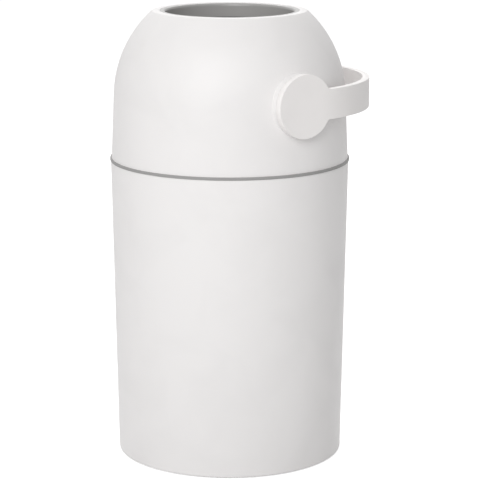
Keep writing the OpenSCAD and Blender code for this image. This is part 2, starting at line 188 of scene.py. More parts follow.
class NAPPYBIN_PG_screws(bpy.types.PropertyGroup):
    """Sizes of the screws"""

    shank_r: length("Shank radius", "Radius of a screw's shank", 2)
    deck_head: length("Deck screw head", "Height of the head of a deck screw", 2.2)
    hub_head: length("Hub screw head", "Height of the head of a hub screw", 2.8)
    head_edge: length("Head edge", "Rounding of a screw's head", 0.9)
    cross_w: length("Cross width", "Width of a slot of the cross recess", 0.9)
    cross_l: length("Cross length", "Length of a slot of the cross recess", 4.2)
    cross_depth: length("Cross depth", "Depth of the cross recess", 1.4)
    around_deck: IntProperty(name="Deck screws", description="Screws in the deck", default=6, min=3)


class NAPPYBIN_PG_edges(bpy.types.PropertyGroup):
    """How far the moulded parts' corners are eased"""

    plastic: length("Plastic", "Width of the rounding along a plastic part's corners", 0.3)
    rubber: length("Rubber", "Width of the rounding along a bumper's corners", 0.6)


class NAPPYBIN_PG_stage(bpy.types.PropertyGroup):
    """Camera, lamps and floor"""

    azimuth: angle("Azimuth", "Where the camera stands: 0 in front of the bin, 90 on its right", 54)
    pitch: angle("Pitch", "How far the camera looks down", 12.38)
    distance: length("Distance", "Level distance of the camera from the bin's axis", 2317)
    height: length("Height", "Height of the camera above the floor", 744)
    lens: FloatProperty(name="Lens", description="Focal length in millimetres", default=160.95)
    shift: FloatProperty(name="Shift", description="Shift of the view to the right", default=0.0215)
    key: FloatProperty(name="Key lamp", description="Power of the main lamp in watts", default=51)
    key_azimuth: angle("Key azimuth", "Direction that the main lamp shines from", 36)
    key_up: angle("Key elevation", "Height of the main lamp as an angle", 29)
    back: FloatProperty(name="Back lamp", description="Power of the lamp behind in watts", default=38)
    back_azimuth: angle("Back azimuth", "Direction that the lamp behind shines from", 234)
    back_up: angle("Back elevation", "Height of the lamp behind as an angle", 46)
    lamp_away: length("Lamp distance", "Distance of the lamps from the middle of the bin", 3200)
    lamp_size: length("Lamp size", "Side of each lamp's square", 1800)
    sky: FloatProperty(name="Sky", description="Strength of the plain studio light", default=0.5)
    floor: share("Floor", "Grey level of the floor", 0.68)
    floor_white: share("Floor white", "What the floor adds where the camera sees it", 0.7)


SETTINGS = {
    "bin_finish": NAPPYBIN_PG_finish,
    "bin_base": NAPPYBIN_PG_base,
    "bin_head": NAPPYBIN_PG_head,
    "bin_feet": NAPPYBIN_PG_feet,
    "bin_screws": NAPPYBIN_PG_screws,
    "bin_edges": NAPPYBIN_PG_edges,
    "bin_stage": NAPPYBIN_PG_stage,
}


# Node trees

def add(tree, kind, inputs=None, **settings):
    """Adds a node. Inputs are given by name or number, as a value or as another node's output."""
    new = tree.nodes.new(kind)
    for name, value in settings.items():
        setattr(new, name, value)
    for key, value in (inputs or {}).items():
        if isinstance(value, bpy.types.NodeSocket):
            tree.links.new(value, new.inputs[key])
        else:
            new.inputs[key].default_value = value
    return new


def calc(tree, operation, first, second=0.0):
    """One step of arithmetic in a tree."""
    return add(tree, "ShaderNodeMath", {0: first, 1: second}, operation=operation).outputs[0]


def vector(tree, x=0.0, y=0.0, z=0.0):
    """A vector from three numbers or outputs."""
    return add(tree, "ShaderNodeCombineXYZ", {0: x, 1: y, 2: z}).outputs[0]


SOCKETS = {
    "float": "NodeSocketFloat",
    "colour": "NodeSocketColor",
    "vector": "NodeSocketVector",
    "count": "NodeSocketInt",
    "geometry": "NodeSocketGeometry",
    "material": "NodeSocketMaterial",
}


def open_tree(name, kind, inputs, outputs):
    """A new tree or group with named sockets, and its input and output nodes."""
    tree = bpy.data.node_groups.new(name, kind)
    for socket, (sort, value) in inputs.items():
        made = tree.interface.new_socket(name=socket, in_out="INPUT", socket_type=SOCKETS[sort])
        if value is not None:
            made.default_value = value
    for socket, sort in outputs.items():
        tree.interface.new_socket(name=socket, in_out="OUTPUT", socket_type=SOCKETS[sort])
    return tree, tree.nodes.new("NodeGroupInput").outputs, tree.nodes.new("NodeGroupOutput").inputs


def numbers(*names):
    """Number sockets of a tree, whose values come with the piece."""
    return {name: ("float", None) for name in names}


def once(build):
    """Builds a tree the first time it is asked for, and hands out the same one after that."""
    made = {}

    def get():
        if "tree" not in made:
            made["tree"] = build()
        return made["tree"]

    return get


# Shader groups for effects that several finishes share

def picked(tree, value, none_at, all_at):
    """A mask that rises from 0 to 1 as the value goes from the one number to the other."""
    return add(
        tree, "ShaderNodeMapRange", {"Value": value, "From Min": none_at, "From Max": all_at}
    ).outputs[0]


@once
def moulded_grain():
    """Fine eroded grain of a mould, and the slow waves that cooling leaves in a large wall."""
    tree, given, out = open_tree(
        "moulded grain",
        "ShaderNodeTree",
        {"Grain Size": ("float", 0.001), "Grain": ("float", 0.5), "Waves": ("float", 0.5)},
        {"Height": "float", "Speckle": "float"},
    )
    place = add(tree, "ShaderNodeTexCoord").outputs["Object"]
    fine = add(
        tree,
        "ShaderNodeTexNoise",
        {
            "Vector": place,
            "Scale": calc(tree, "DIVIDE", 1.0, given["Grain Size"]),
            "Detail": 3.0,
            "Roughness": 0.6,
        },
    ).outputs[0]
    slow = add(
        tree, "ShaderNodeTexNoise", {"Vector": place, "Scale": 14.0, "Detail": 1.0}
    ).outputs[0]
    grain = calc(tree, "MULTIPLY", fine, given["Grain"])
    waves = calc(tree, "MULTIPLY", slow, given["Waves"])
    tree.links.new(calc(tree, "ADD", grain, waves), out["Height"])
    tree.links.new(fine, out["Speckle"])
    return tree


@once
def handling_marks():
    """Faint cloudy marks and hair scratches, as a mask from 0 to 1."""
    tree, given, out = open_tree(
        "handling marks",
        "ShaderNodeTree",
        {"Mark Size": ("float", 0.06), "Scratches": ("float", 0.3)},
        {"Mask": "float"},
    )
    place = add(tree, "ShaderNodeTexCoord").outputs["Object"]
    clouds = add(
        tree,
        "ShaderNodeTexNoise",
        {
            "Vector": place,
            "Scale": calc(tree, "DIVIDE", 1.0, given["Mark Size"]),
            "Detail": 5.0,
            "Distortion": 0.6,
        },
    ).outputs[0]
    soft = picked(tree, clouds, 0.42, 0.72)
    # Noise that is squeezed along one slanting direction draws hairlines across it
    slant = (0.4, 0.9, 0.2)
    squeeze = (9, 9, 900)
    stretched = add(
        tree, "ShaderNodeMapping", {"Vector": place, "Rotation": slant, "Scale": squeeze}
    ).outputs[0]
    lines = add(
        tree, "ShaderNodeTexNoise", {"Vector": stretched, "Scale": 1.0, "Detail": 2.0}
    ).outputs[0]
    scratches = calc(tree, "MULTIPLY", picked(tree, lines, 0.66, 0.72), given["Scratches"])
    tree.links.new(calc(tree, "MAXIMUM", soft, scratches), out["Mask"])
    return tree


# Finishes

def new_material(name):
    """An empty node material with its Principled shader already joined to the output."""
    material = bpy.data.materials.new(name)
    material.use_nodes = True
    tree = material.node_tree
    tree.nodes.clear()
    shader = tree.nodes.new("ShaderNodeBsdfPrincipled")
    output = tree.nodes.new("ShaderNodeOutputMaterial")
    tree.links.new(shader.outputs[0], output.inputs["Surface"])
    return material, tree, shader


def use_group(tree, group, inputs):
    """Places a shader group in a material."""
    node = add(tree, "ShaderNodeGroup", node_tree=group)
    for name, value in inputs.items():
        node.inputs[name].default_value = value
    return node.outputs


def tinted(tree, mask, light, dark):
    """A colour that goes from light to dark as the mask goes from 0 to 1."""
    return add(
        tree,
        "ShaderNodeMix",
        {"Factor": mask, 6: (*light, 1), 7: (*dark, 1)},
        data_type="RGBA",
    ).outputs[2]


def spread(tree, mask, low, high):
    """A number that goes from low to high as the mask goes from 0 to 1."""
    return add(tree, "ShaderNodeMapRange", {"Value": mask, "To Min": low, "To Max": high}).outputs[0]


def bumped(tree, shader, height, depth):
    """Feeds a height to the shader's normal, as a bump of a real depth."""
    bump = add(tree, "ShaderNodeBump", {"Height": height, "Strength": 1.0, "Distance": depth})
    tree.links.new(bump.outputs[0], shader.inputs["Normal"])


def moulded_plastic(name, tint, roughness, grain, shine=0.35):
    """A moulded plastic with grain, slow waves, faint marks and a trace of mottling."""
    finish = bpy.context.scene.bin_finish
    material, tree, shader = new_material(name)
    mould = use_group(
        tree, moulded_grain(), {"Grain Size": finish.grain, "Grain": grain, "Waves": 0.5}
    )
    marks = use_group(tree, handling_marks(), {"Mark Size": finish.smudge, "Scratches": 0.4})
    deeper = [c * 0.975 for c in tint]
    tree.links.new(tinted(tree, marks["Mask"], tint, deeper), shader.inputs["Base Color"])
    rough = spread(tree, marks["Mask"], roughness, roughness + 0.08)
    tree.links.new(rough, shader.inputs["Roughness"])
    bumped(tree, shader, mould["Height"], 0.03 * MM)
    shader.inputs["Specular IOR Level"].default_value = shine
    return material


@once
def white_plastic():
    """Satin white plastic of the base and the dome."""
    finish = bpy.context.scene.bin_finish
    return moulded_plastic("white plastic", finish.white, finish.white_roughness, 0.35)


@once
def lit_handle_plastic():
    """The handle's white, a little warmer, with painted light: it is made lighter than the base's white
    to stand in for the extra light that falls on the handle.
    """
    finish = bpy.context.scene.bin_finish
    return moulded_plastic("lit handle plastic", finish.handle, finish.white_roughness, 0.35)


@once
def grey_plastic():
    """Smoother grey plastic of the throat, bowl and deck."""
    finish = bpy.context.scene.bin_finish
    return moulded_plastic("grey plastic", finish.grey, finish.grey_roughness, 0.6, shine=0.6)


@once
def ring_plastic():
    """Duller grey plastic of the ring at the seam."""
    finish = bpy.context.scene.bin_finish
    return moulded_plastic("ring plastic", finish.ring, finish.ring_roughness, 0.6, shine=0.25)


@once
def bearing_plastic():
    """Slippery, slightly waxy plastic of the axles and bushes."""
    finish = bpy.context.scene.bin_finish
    material = moulded_plastic("bearing plastic", finish.bearing, 0.36, 0.2)
    shader = material.node_tree.nodes["Principled BSDF"]
    shader.inputs["Coat Weight"].default_value = 0.15
    return material


@once
def rubber():
    """Dull rubber, lighter where dust clings to it."""
    finish = bpy.context.scene.bin_finish
    material, tree, shader = new_material("rubber")
    mould = use_group(tree, moulded_grain(), {"Grain Size": 1.4 * MM, "Grain": 0.9, "Waves": 0.2})
    marks = use_group(tree, handling_marks(), {"Mark Size": 18 * MM, "Scratches": 0.1})
    dusty = [c + 0.05 for c in finish.rubber]
    tree.links.new(tinted(tree, marks["Mask"], finish.rubber, dusty), shader.inputs["Base Color"])
    tree.links.new(spread(tree, mould["Speckle"], 0.62, 0.84), shader.inputs["Roughness"])
    bumped(tree, shader, mould["Height"], 0.06 * MM)
    return material


@once
def zinc_plated_steel():
    """Bright plated steel with a fine grain and light scratches."""
    finish = bpy.context.scene.bin_finish
    material, tree, shader = new_material("zinc-plated steel")
    marks = use_group(tree, handling_marks(), {"Mark Size": 3 * MM, "Scratches": 1.0})
    mould = use_group(tree, moulded_grain(), {"Grain Size": 0.3 * MM, "Grain": 0.4, "Waves": 0.0})
    darker = [c * 0.8 for c in finish.steel]
    tree.links.new(tinted(tree, marks["Mask"], finish.steel, darker), shader.inputs["Base Color"])
    tree.links.new(spread(tree, marks["Mask"], 0.24, 0.42), shader.inputs["Roughness"])
    bumped(tree, shader, mould["Height"], 0.01 * MM)
    shader.inputs["Metallic"].default_value = 1.0
    return material


def finish_nodes(names, material):
    """Gives CAD nodes a finish in place of the plain one that they were loaded with."""
    for name in names:
        slots = NODES[name].material_slots
        if not slots:
            raise RuntimeError(f"{name} has no material slot")
        for slot in slots:
            slot.material = material


# Pieces that take the place of CAD nodes

def add_piece(name, mesh, body, slot, *replaced):
    """Puts a finished mesh in the frame, on a body and in the place of CAD nodes."""
    piece = bpy.data.objects.new(name, mesh)
    bpy.context.scene.collection.objects.link(piece)
    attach(piece, body)
    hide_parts(*replaced)
    return piece


def merged(node):
    """A CAD node's shape with its loose triangles joined and its flat faces whole."""
    shape = bmesh.new()
    shape.from_mesh(NODES[node].data)
    bmesh.ops.remove_doubles(shape, verts=shape.verts, dist=SAME_POINT)
    bmesh.ops.dissolve_limit(shape, angle_limit=FLAT, verts=shape.verts, edges=shape.edges)
    for face in shape.faces:
        face.smooth = True
    for edge in shape.edges:
        edge.smooth = True
    mesh = bpy.data.meshes.new(node)
    shape.to_mesh(mesh)
    shape.free()
    return mesh


def eased(name, node, body, slot, material, width, surfaces=()):
    """A copy of a CAD node whose corners are broken by a fine rounding.

    Each surface is a function that gives the true normal at a point that lies on it, or None.
    """
    holder = bpy.data.objects.new(name + " sharp", merged(node))
    bpy.context.scene.collection.objects.link(holder)
    bevel = holder.modifiers.new("eased corners", "BEVEL")
    bevel.width = width
    bevel.segments = 2
    bevel.limit_method = "ANGLE"
    bevel.angle_limit = CORNER
    bevel.harden_normals = True
    graph = bpy.context.evaluated_depsgraph_get()
    mesh = bpy.data.meshes.new_from_object(holder.evaluated_get(graph))
    bpy.data.objects.remove(holder)
    follow_surfaces(mesh, surfaces)
    mesh.materials.append(material)
    return add_piece(name, mesh, body, slot, node)


def follow_surfaces(mesh, surfaces):
    """Shades a mesh by its true surfaces instead of its triangles."""
    normals = [corner.vector.copy() for corner in mesh.corner_normals]
    for loop in mesh.loops:
        point = mesh.vertices[loop.vertex_index].co
        for surface in surfaces:
            true = surface(point)
            if true is not None and true.dot(normals[loop.index]) > math.cos(ALIKE):
                normals[loop.index] = true
                break
    mesh.normals_split_custom_set(normals)


def ball_surface(centre, radius):
    """The surface of a ball."""
    def normal(point):
        out = point - centre
        return out.normalized() if abs(out.length - radius) < ON_SURFACE else None

    return normal


def cone_surface(low, high):
    """The surface of an upright cone through two points (radius, height) of its outline."""
    along = (high - low).normalized()
    outward = Vector((along.y, -along.x))

    def normal(point):
        level = Vector((point.x, point.y))
        if not low.y - ON_SURFACE < point.z < high.y:
            return None
        if abs((Vector((level.length, point.z)) - low).dot(outward)) > ON_SURFACE:
            return None
        side = level.normalized() * outward.x
        return Vector((side.x, side.y, outward.y))

    return normal


def band_surface(half, arm, way):
    """One side of the handle's band: flat as far as the arms reach, then a half circle."""
    def normal(point):
        out = Vector((point.x, max(point.y - arm, 0.0), 0.0))
        return out.normalized() * way if abs(out.length - half) < ON_BAND else None

    return normal


def bake(name, tree, inputs, body, slot, *replaced):
    """Runs a tree once, and puts its result in the frame as a plain mesh."""
    holder = bpy.data.objects.new(name + " tree", bpy.data.meshes.new(name))
    bpy.context.scene.collection.objects.link(holder)
    modifier = holder.modifiers.new("tree", "NODES")
    modifier.node_group = tree
    for item in tree.interface.items_tree:
        if item.item_type == "SOCKET" and item.in_out == "INPUT":
            modifier[item.identifier] = inputs[item.name]
    graph = bpy.context.evaluated_depsgraph_get()
    mesh = bpy.data.meshes.new_from_object(holder.evaluated_get(graph))
    bpy.data.objects.remove(holder)
    if not mesh.polygons:
        raise RuntimeError(f"the tree of {name} made no faces")
    return add_piece(name, mesh, body, slot, *replaced)


# Geometry Nodes that the trees share

def by_index(tree, kind, values):
    """A value for each point of a line, in order."""
    switch = add(tree, "GeometryNodeIndexSwitch", data_type=kind)
    while len(switch.index_switch_items) < len(values):
        switch.index_switch_items.new()
    index = tree.nodes.new("GeometryNodeInputIndex").outputs[0]
    tree.links.new(index, switch.inputs["Index"])
    for number, value in enumerate(values):
        socket = switch.inputs[number + 1]
        if isinstance(value, bpy.types.NodeSocket):
            tree.links.new(value, socket)
        else:
            socket.default_value = value
    return switch.outputs[0]


def turned(tree, points, rounds, segments=64):
    """A body of revolution from points (radius, height), each corner with its rounding."""
    # The profile is swept round a circle of this radius, so its X starts there, and its Y runs down
    spine_r = 0.05
    line = add(tree, "GeometryNodeMeshLine", {"Count": len(points)}).outputs[0]
    corners = [
        vector(tree, calc(tree, "SUBTRACT", r, spine_r), calc(tree, "MULTIPLY", z, -1.0))
        for r, z in points
    ]
    bent = add(
        tree,
        "GeometryNodeSetPosition",
        {"Geometry": line, "Position": by_index(tree, "VECTOR", corners)},
    ).outputs[0]
    outline = add(tree, "GeometryNodeMeshToCurve", {"Mesh": bent}).outputs[0]
    filleted = add(
        tree,
        "GeometryNodeFilletCurve",
        {"Curve": outline, "Radius": by_index(tree, "FLOAT", rounds), "Limit Radius": True, "Count": 5},
        mode="POLY",
    ).outputs[0]
    circle = add(
        tree, "GeometryNodeCurvePrimitiveCircle", {"Resolution": segments, "Radius": spine_r}
    ).outputs[0]
    swept = add(
        tree, "GeometryNodeCurveToMesh", {"Curve": circle, "Profile Curve": filleted}
    ).outputs[0]
    return add(
        tree, "GeometryNodeMergeByDistance", {"Geometry": swept, "Distance": SWEPT_POINT}
    ).outputs[0]


def placed(tree, part, shift, turn=(0, 0, 0)):
    """A part that is turned about the origin and then shifted."""
    return add(
        tree, "GeometryNodeTransform", {"Geometry": part, "Translation": shift, "Rotation": turn}
    ).outputs[0]


def block(tree, size, centre):
    """A box from its size and its centre."""
    cube = add(tree, "GeometryNodeMeshCube", {"Size": size}).outputs[0]
    return placed(tree, cube, centre)


def boolean(tree, operation, first, others):
    """Parts joined into one closed body, or cut from the first."""
    sockets = {"Mesh 1": first} if operation == "DIFFERENCE" else {"Mesh 2": first}
    node = add(tree, "GeometryNodeMeshBoolean", sockets, operation=operation, solver="EXACT")
    for other in others:
        tree.links.new(other, node.inputs["Mesh 2"])
    return node.outputs[0]


def real(tree, copies):
    """Copies made into a plain mesh."""
    return add(tree, "GeometryNodeRealizeInstances", {"Geometry": copies}).outputs[0]


def around(tree, part, count, first=0.0):
    """Copies of a part, turned evenly round the bin's axis."""
    points = add(tree, "GeometryNodeMeshLine", {"Count": count, "Offset": (0, 0, 0)}).outputs[0]
    index = tree.nodes.new("GeometryNodeInputIndex").outputs[0]
    step = calc(tree, "DIVIDE", math.tau, count)
    turn = calc(tree, "ADD", calc(tree, "MULTIPLY", index, step), first)
    return add(
        tree,
        "GeometryNodeInstanceOnPoints",
        {"Points": points, "Instance": part, "Rotation": vector(tree, 0.0, 0.0, turn)},
    ).outputs[0]


def finish_tree(tree, parts, material, out):
    """Joins the parts, makes copies real, shades smooth where it is round, and sets the material."""
    joined = add(tree, "GeometryNodeJoinGeometry")
    for part in parts:
        tree.links.new(part, joined.inputs[0])
    whole = real(tree, joined.outputs[0])
    smooth = add(
        tree, "GeometryNodeSetShadeSmooth", {"Geometry": whole, "Shade Smooth": True}, domain="FACE"
    ).outputs[0]
    bend = tree.nodes.new("GeometryNodeInputMeshEdgeAngle").outputs[0]
    gentle = calc(tree, "LESS_THAN", bend, CREASE)
    creased = add(
        tree, "GeometryNodeSetShadeSmooth", {"Geometry": smooth, "Shade Smooth": gentle}, domain="EDGE"
    ).outputs[0]
    done = add(
        tree, "GeometryNodeSetMaterial", {"Geometry": creased, "Material": material}
    ).outputs[0]
    tree.links.new(done, out["Geometry"])


# Trees

@once
def base_tree():
    """The base: a turned wall with a floor, and the ribs, boss and foot sockets under it."""
    sizes = {
        **numbers("Foot Radius", "Top Radius", "Bottom", "Height", "Wall", "Floor Height"),
        **numbers("Bottom Rounding", "Edge Rounding", "Rib Width", "Hub Radius"),
        **numbers("Feet Circle", "Foot Hole", "Foot Thickness"),
        "Ribs": ("count", None),
        "Feet": ("count", None),
        "Material": ("material", None),
    }
    tree, given, out = open_tree("base", "GeometryNodeTree", sizes, {"Geometry": "geometry"})
    wall = given["Wall"]
    low = given["Floor Height"]
    bottom = given["Bottom"]
    round_low = given["Bottom Rounding"]
    edge = given["Edge Rounding"]
    floor_top = calc(tree, "ADD", low, wall)
    foot_inside = calc(tree, "SUBTRACT", given["Foot Radius"], wall)
    widening = calc(tree, "SUBTRACT", given["Top Radius"], given["Foot Radius"])
    slope = calc(tree, "DIVIDE", widening, calc(tree, "SUBTRACT", given["Height"], bottom))
    rise = calc(tree, "MULTIPLY", slope, calc(tree, "SUBTRACT", floor_top, bottom))
    inside = calc(tree, "ADD", foot_inside, rise)
    skirt = calc(tree, "SUBTRACT", foot_inside, round_low)
    shell = turned(
        tree,
        [
            (0.0, floor_top),
            (inside, floor_top),
            (calc(tree, "SUBTRACT", given["Top Radius"], wall), given["Height"]),
            (given["Top Radius"], given["Height"]),
            (given["Foot Radius"], bottom),
            (skirt, bottom),
            (skirt, low),
            (0.0, low),
        ],
        [0.0, wall, edge, edge, round_low, edge, edge, 0.0],
        segments=192,
    )
    # Ribs, boss and sockets end halfway up in the floor, and the ribs start inside the boss
    rib_low = calc(tree, "ADD", bottom, round_low)
    rib_top = calc(tree, "ADD", low, calc(tree, "MULTIPLY", wall, 0.5))
    rib_h = calc(tree, "SUBTRACT", rib_top, rib_low)
    rib_in = calc(tree, "MULTIPLY", given["Hub Radius"], 0.5)
    rib_l = calc(tree, "SUBTRACT", foot_inside, rib_in)
    rib = block(
        tree,
        vector(tree, rib_l, given["Rib Width"], rib_h),
        vector(
            tree,
            calc(tree, "ADD", rib_in, calc(tree, "MULTIPLY", rib_l, 0.5)),
            0.0,
            calc(tree, "ADD", rib_low, calc(tree, "MULTIPLY", rib_h, 0.5)),
        ),
    )
    hub = turned(
        tree,
        [(0.0, rib_top), (given["Hub Radius"], rib_top), (given["Hub Radius"], 0.0), (0.0, 0.0)],
        [0.0, 0.0, edge, 0.0],
    )
    hole = given["Foot Hole"]
    rim = calc(tree, "ADD", hole, wall)
    rim_low = calc(tree, "ADD", bottom, calc(tree, "MULTIPLY", round_low, 0.5))
    socket = turned(
        tree,
        [
            (0.0, rib_top),
            (rim, rib_top),
            (rim, rim_low),
            (hole, rim_low),
            (hole, given["Foot Thickness"]),
            (0.0, given["Foot Thickness"]),
        ],
        [0.0, 0.0, edge, edge, 0.0, 0.0],
    )
    plug = turned(
        tree,
        [(0.0, given["Foot Thickness"]), (hole, given["Foot Thickness"]), (hole, 0.0), (0.0, 0.0)],
        [0.0, 0.0, 0.0, 0.0],
    )
    at_foot = vector(tree, given["Feet Circle"])
    sockets = around(tree, placed(tree, socket, at_foot), given["Feet"], FIRST_FOOT)
    plugs = around(tree, placed(tree, plug, at_foot), given["Feet"], FIRST_FOOT)
    ribs = boolean(tree, "UNION", real(tree, hub), [around(tree, rib, given["Ribs"])])
    ribs = boolean(tree, "DIFFERENCE", ribs, [plugs])
    body = boolean(tree, "UNION", shell, [ribs, sockets])
    finish_tree(tree, [body], given["Material"], out)
    return tree


@once
def feet_tree():
    """Rubber feet with a ringed tread, each a plug in its socket."""
    sizes = {
        **numbers("Circle", "Radius", "Thickness", "Groove", "Edge"),
        "Feet": ("count", None),
        "Material": ("material", None),
    }
    tree, given, out = open_tree("feet", "GeometryNodeTree", sizes, {"Geometry": "geometry"})
    radius = given["Radius"]
    deep = given["Groove"]
    # Two ring grooves, each with sloping sides, as shares of the radius
    groove = ((0.0, 0.0), (0.02, deep), (0.1, deep), (0.12, 0.0))
    tread = []
    for start in (0.3, 0.65):
        for past_start, height in groove:
            tread.append((calc(tree, "MULTIPLY", radius, start + past_start), height))
    profile = [(0.0, given["Thickness"]), (radius, given["Thickness"]), (radius, 0.0)]
    profile += [*reversed(tread), (0.0, 0.0)]
    rounds = [0.0, 0.0, given["Edge"]] + [0.0] * (len(tread) + 1)
    foot = placed(tree, turned(tree, profile, rounds), vector(tree, given["Circle"]))
    finish_tree(tree, [around(tree, foot, given["Feet"], FIRST_FOOT)], given["Material"], out)
    return tree


@once
def screw_tree():
    """Screws with a rounded head and a cross recess, copied round the axis and set where they sit."""
    sizes = {
        **numbers("Shank Radius", "Shank Length", "Head Radius", "Head Height", "Head Edge"),
        **numbers("Cross Width", "Cross Length", "Cross Depth", "First Angle"),
        "Place": ("vector", None),
        "Turn": ("vector", None),
        "Count": ("count", None),
        "Material": ("material", None),
    }
    tree, given, out = open_tree("screws", "GeometryNodeTree", sizes, {"Geometry": "geometry"})
    head_low = calc(tree, "MULTIPLY", given["Head Height"], -1.0)
    shank_r = given["Shank Radius"]
    shank_l = given["Shank Length"]
    body = turned(
        tree,
        [
            (0.0, shank_l),
            (shank_r, shank_l),
            (shank_r, 0.0),
            (given["Head Radius"], 0.0),
            (given["Head Radius"], head_low),
            (0.0, head_low),
        ],
        [0.0, calc(tree, "MULTIPLY", shank_r, 0.4), 0.0, 0.1 * MM, given["Head Edge"], 0.0],
    )
    recess_h = calc(tree, "MULTIPLY", given["Cross Depth"], 2.0)
    cutters = [
        block(tree, vector(tree, a, b, recess_h), vector(tree, 0.0, 0.0, head_low))
        for a, b in (
            (given["Cross Length"], given["Cross Width"]),
            (given["Cross Width"], given["Cross Length"]),
        )
    ]
    cut = boolean(tree, "DIFFERENCE", body, cutters)
    screw = placed(tree, cut, given["Place"], given["Turn"])
    copies = around(tree, screw, given["Count"], given["First Angle"])
    finish_tree(tree, [copies], given["Material"], out)
    return tree


# Operators, one for each piece or group of like pieces

class NAPPYBIN_OT_base(bpy.types.Operator):
    """Makes the white base, a turned shell with ribs under its floor"""

    bl_idname = "nappybin.base"
    bl_label = "Base"

    def execute(self, context):
        sizes = context.scene.bin_base
        feet = context.scene.bin_feet
        low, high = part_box("base_shell")
        inputs = {
            "Foot Radius": high[0] - sizes.draft * (1 - sizes.rim_up / high[2]),
            "Top Radius": high[0],
            "Bottom": sizes.rim_up,
            "Height": high[2],
            "Wall": sizes.wall,
            "Floor Height": sizes.floor_up,
            "Bottom Rounding": sizes.bottom_round,
            "Edge Rounding": sizes.edge_round,
            "Ribs": sizes.ribs,
            "Rib Width": sizes.rib_w,
            "Hub Radius": sizes.hub_r,
            "Feet": feet.count,
            "Feet Circle": feet.circle,
            "Foot Hole": feet.radius + FOOT_ROOM,
            "Foot Thickness": feet.thickness,
            "Material": white_plastic(),
        }
        bake("turned_base", base_tree(), inputs, "base", "white_plastic", "base_shell")
        return {"FINISHED"}


class NAPPYBIN_OT_feet(bpy.types.Operator):
    """Makes the four rubber feet"""

    bl_idname = "nappybin.feet"
    bl_label = "Feet"

    def execute(self, context):
        sizes = context.scene.bin_feet
        inputs = {
            "Circle": sizes.circle,
            "Radius": sizes.radius,
            "Thickness": sizes.thickness,
            "Groove": sizes.groove,
            "Edge": sizes.groove,
            "Feet": sizes.count,
            "Material": rubber(),
        }
        bake("treaded_feet", feet_tree(), inputs, "base", "rubber", "rubber_feet")
        return {"FINISHED"}


class NAPPYBIN_OT_dome(bpy.types.Operator):
    """Makes the dome, with its corners eased"""

    bl_idname = "nappybin.dome"
    bl_label = "Dome"

    def execute(self, context):
        sizes = context.scene.bin_head
        low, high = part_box("dome_shell")
        ball_r = sizes.ball_r
        centre = Vector((0, 0, high[2] - math.sqrt(ball_r**2 - sizes.rim_r**2)))
        # The cone rises from the dome's foot and meets the ball where it just touches it
        foot = Vector((high[0], low[2] - centre.z))
        touch = math.acos(ball_r / foot.length) + math.atan2(foot.y, foot.x)
        top = Vector((ball_r * math.cos(touch), centre.z + ball_r * math.sin(touch)))
        surfaces = [
            ball_surface(centre, ball_r),
            cone_surface(Vector((high[0], low[2])), top),
        ]
        width = context.scene.bin_edges.plastic
        eased("dome", "dome_shell", "head", "white_plastic", white_plastic(), width, surfaces)
        return {"FINISHED"}


class NAPPYBIN_OT_handle(bpy.types.Operator):
    """Makes the swing handle, with its corners eased"""

    bl_idname = "nappybin.handle"
    bl_label = "Handle"

    def execute(self, context):
        low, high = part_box("handle")
        half = high[0]
        arm = high[1] - half
        surfaces = [
            band_surface(half, arm, 1),
            band_surface(half - context.scene.bin_head.handle_t, arm, -1),
        ]
        width = context.scene.bin_edges.plastic
        eased("swing_handle", "handle", "rotor", "white_plastic", lit_handle_plastic(), width, surfaces)
        return {"FINISHED"}


class NAPPYBIN_OT_grey_parts(bpy.types.Operator):
    """Finishes the throat, bowl, deck, hub caps and the ring at the seam"""

    bl_idname = "nappybin.grey_parts"
    bl_label = "Grey parts"

    def execute(self, context):
        finish_nodes(["throat_liner", "scoop_bowl", "rotor_deck"], grey_plastic())
        finish_nodes(["hub_cap_left", "hub_cap_right"], grey_plastic())
        finish_nodes(["bag_ring"], ring_plastic())
        return {"FINISHED"}


class NAPPYBIN_OT_rubber_parts(bpy.types.Operator):
    """Finishes the seals and the gasket, and makes the bumpers with their corners eased"""

    bl_idname = "nappybin.rubber_parts"
    bl_label = "Rubber parts"

    def execute(self, context):
        finish_nodes(["throat_seal", "drop_seal", "head_gasket"], rubber())
        width = context.scene.bin_edges.rubber
        eased("bumpers", "stop_bumpers", "head", "rubber", rubber(), width)
        return {"FINISHED"}


class NAPPYBIN_OT_axle_parts(bpy.types.Operator):
    """Finishes the axles, bushes and slip washers, and the washers under the hub screws"""

    bl_idname = "nappybin.axle_parts"
    bl_label = "Axles"

    def execute(self, context):
        for side in ("left", "right"):
            names = [f"axle_{side}", f"bearing_bush_{side}", f"slip_washer_{side}"]
            finish_nodes(names, bearing_plastic())
            finish_nodes([f"hub_washer_{side}"], zinc_plated_steel())
        return {"FINISHED"}


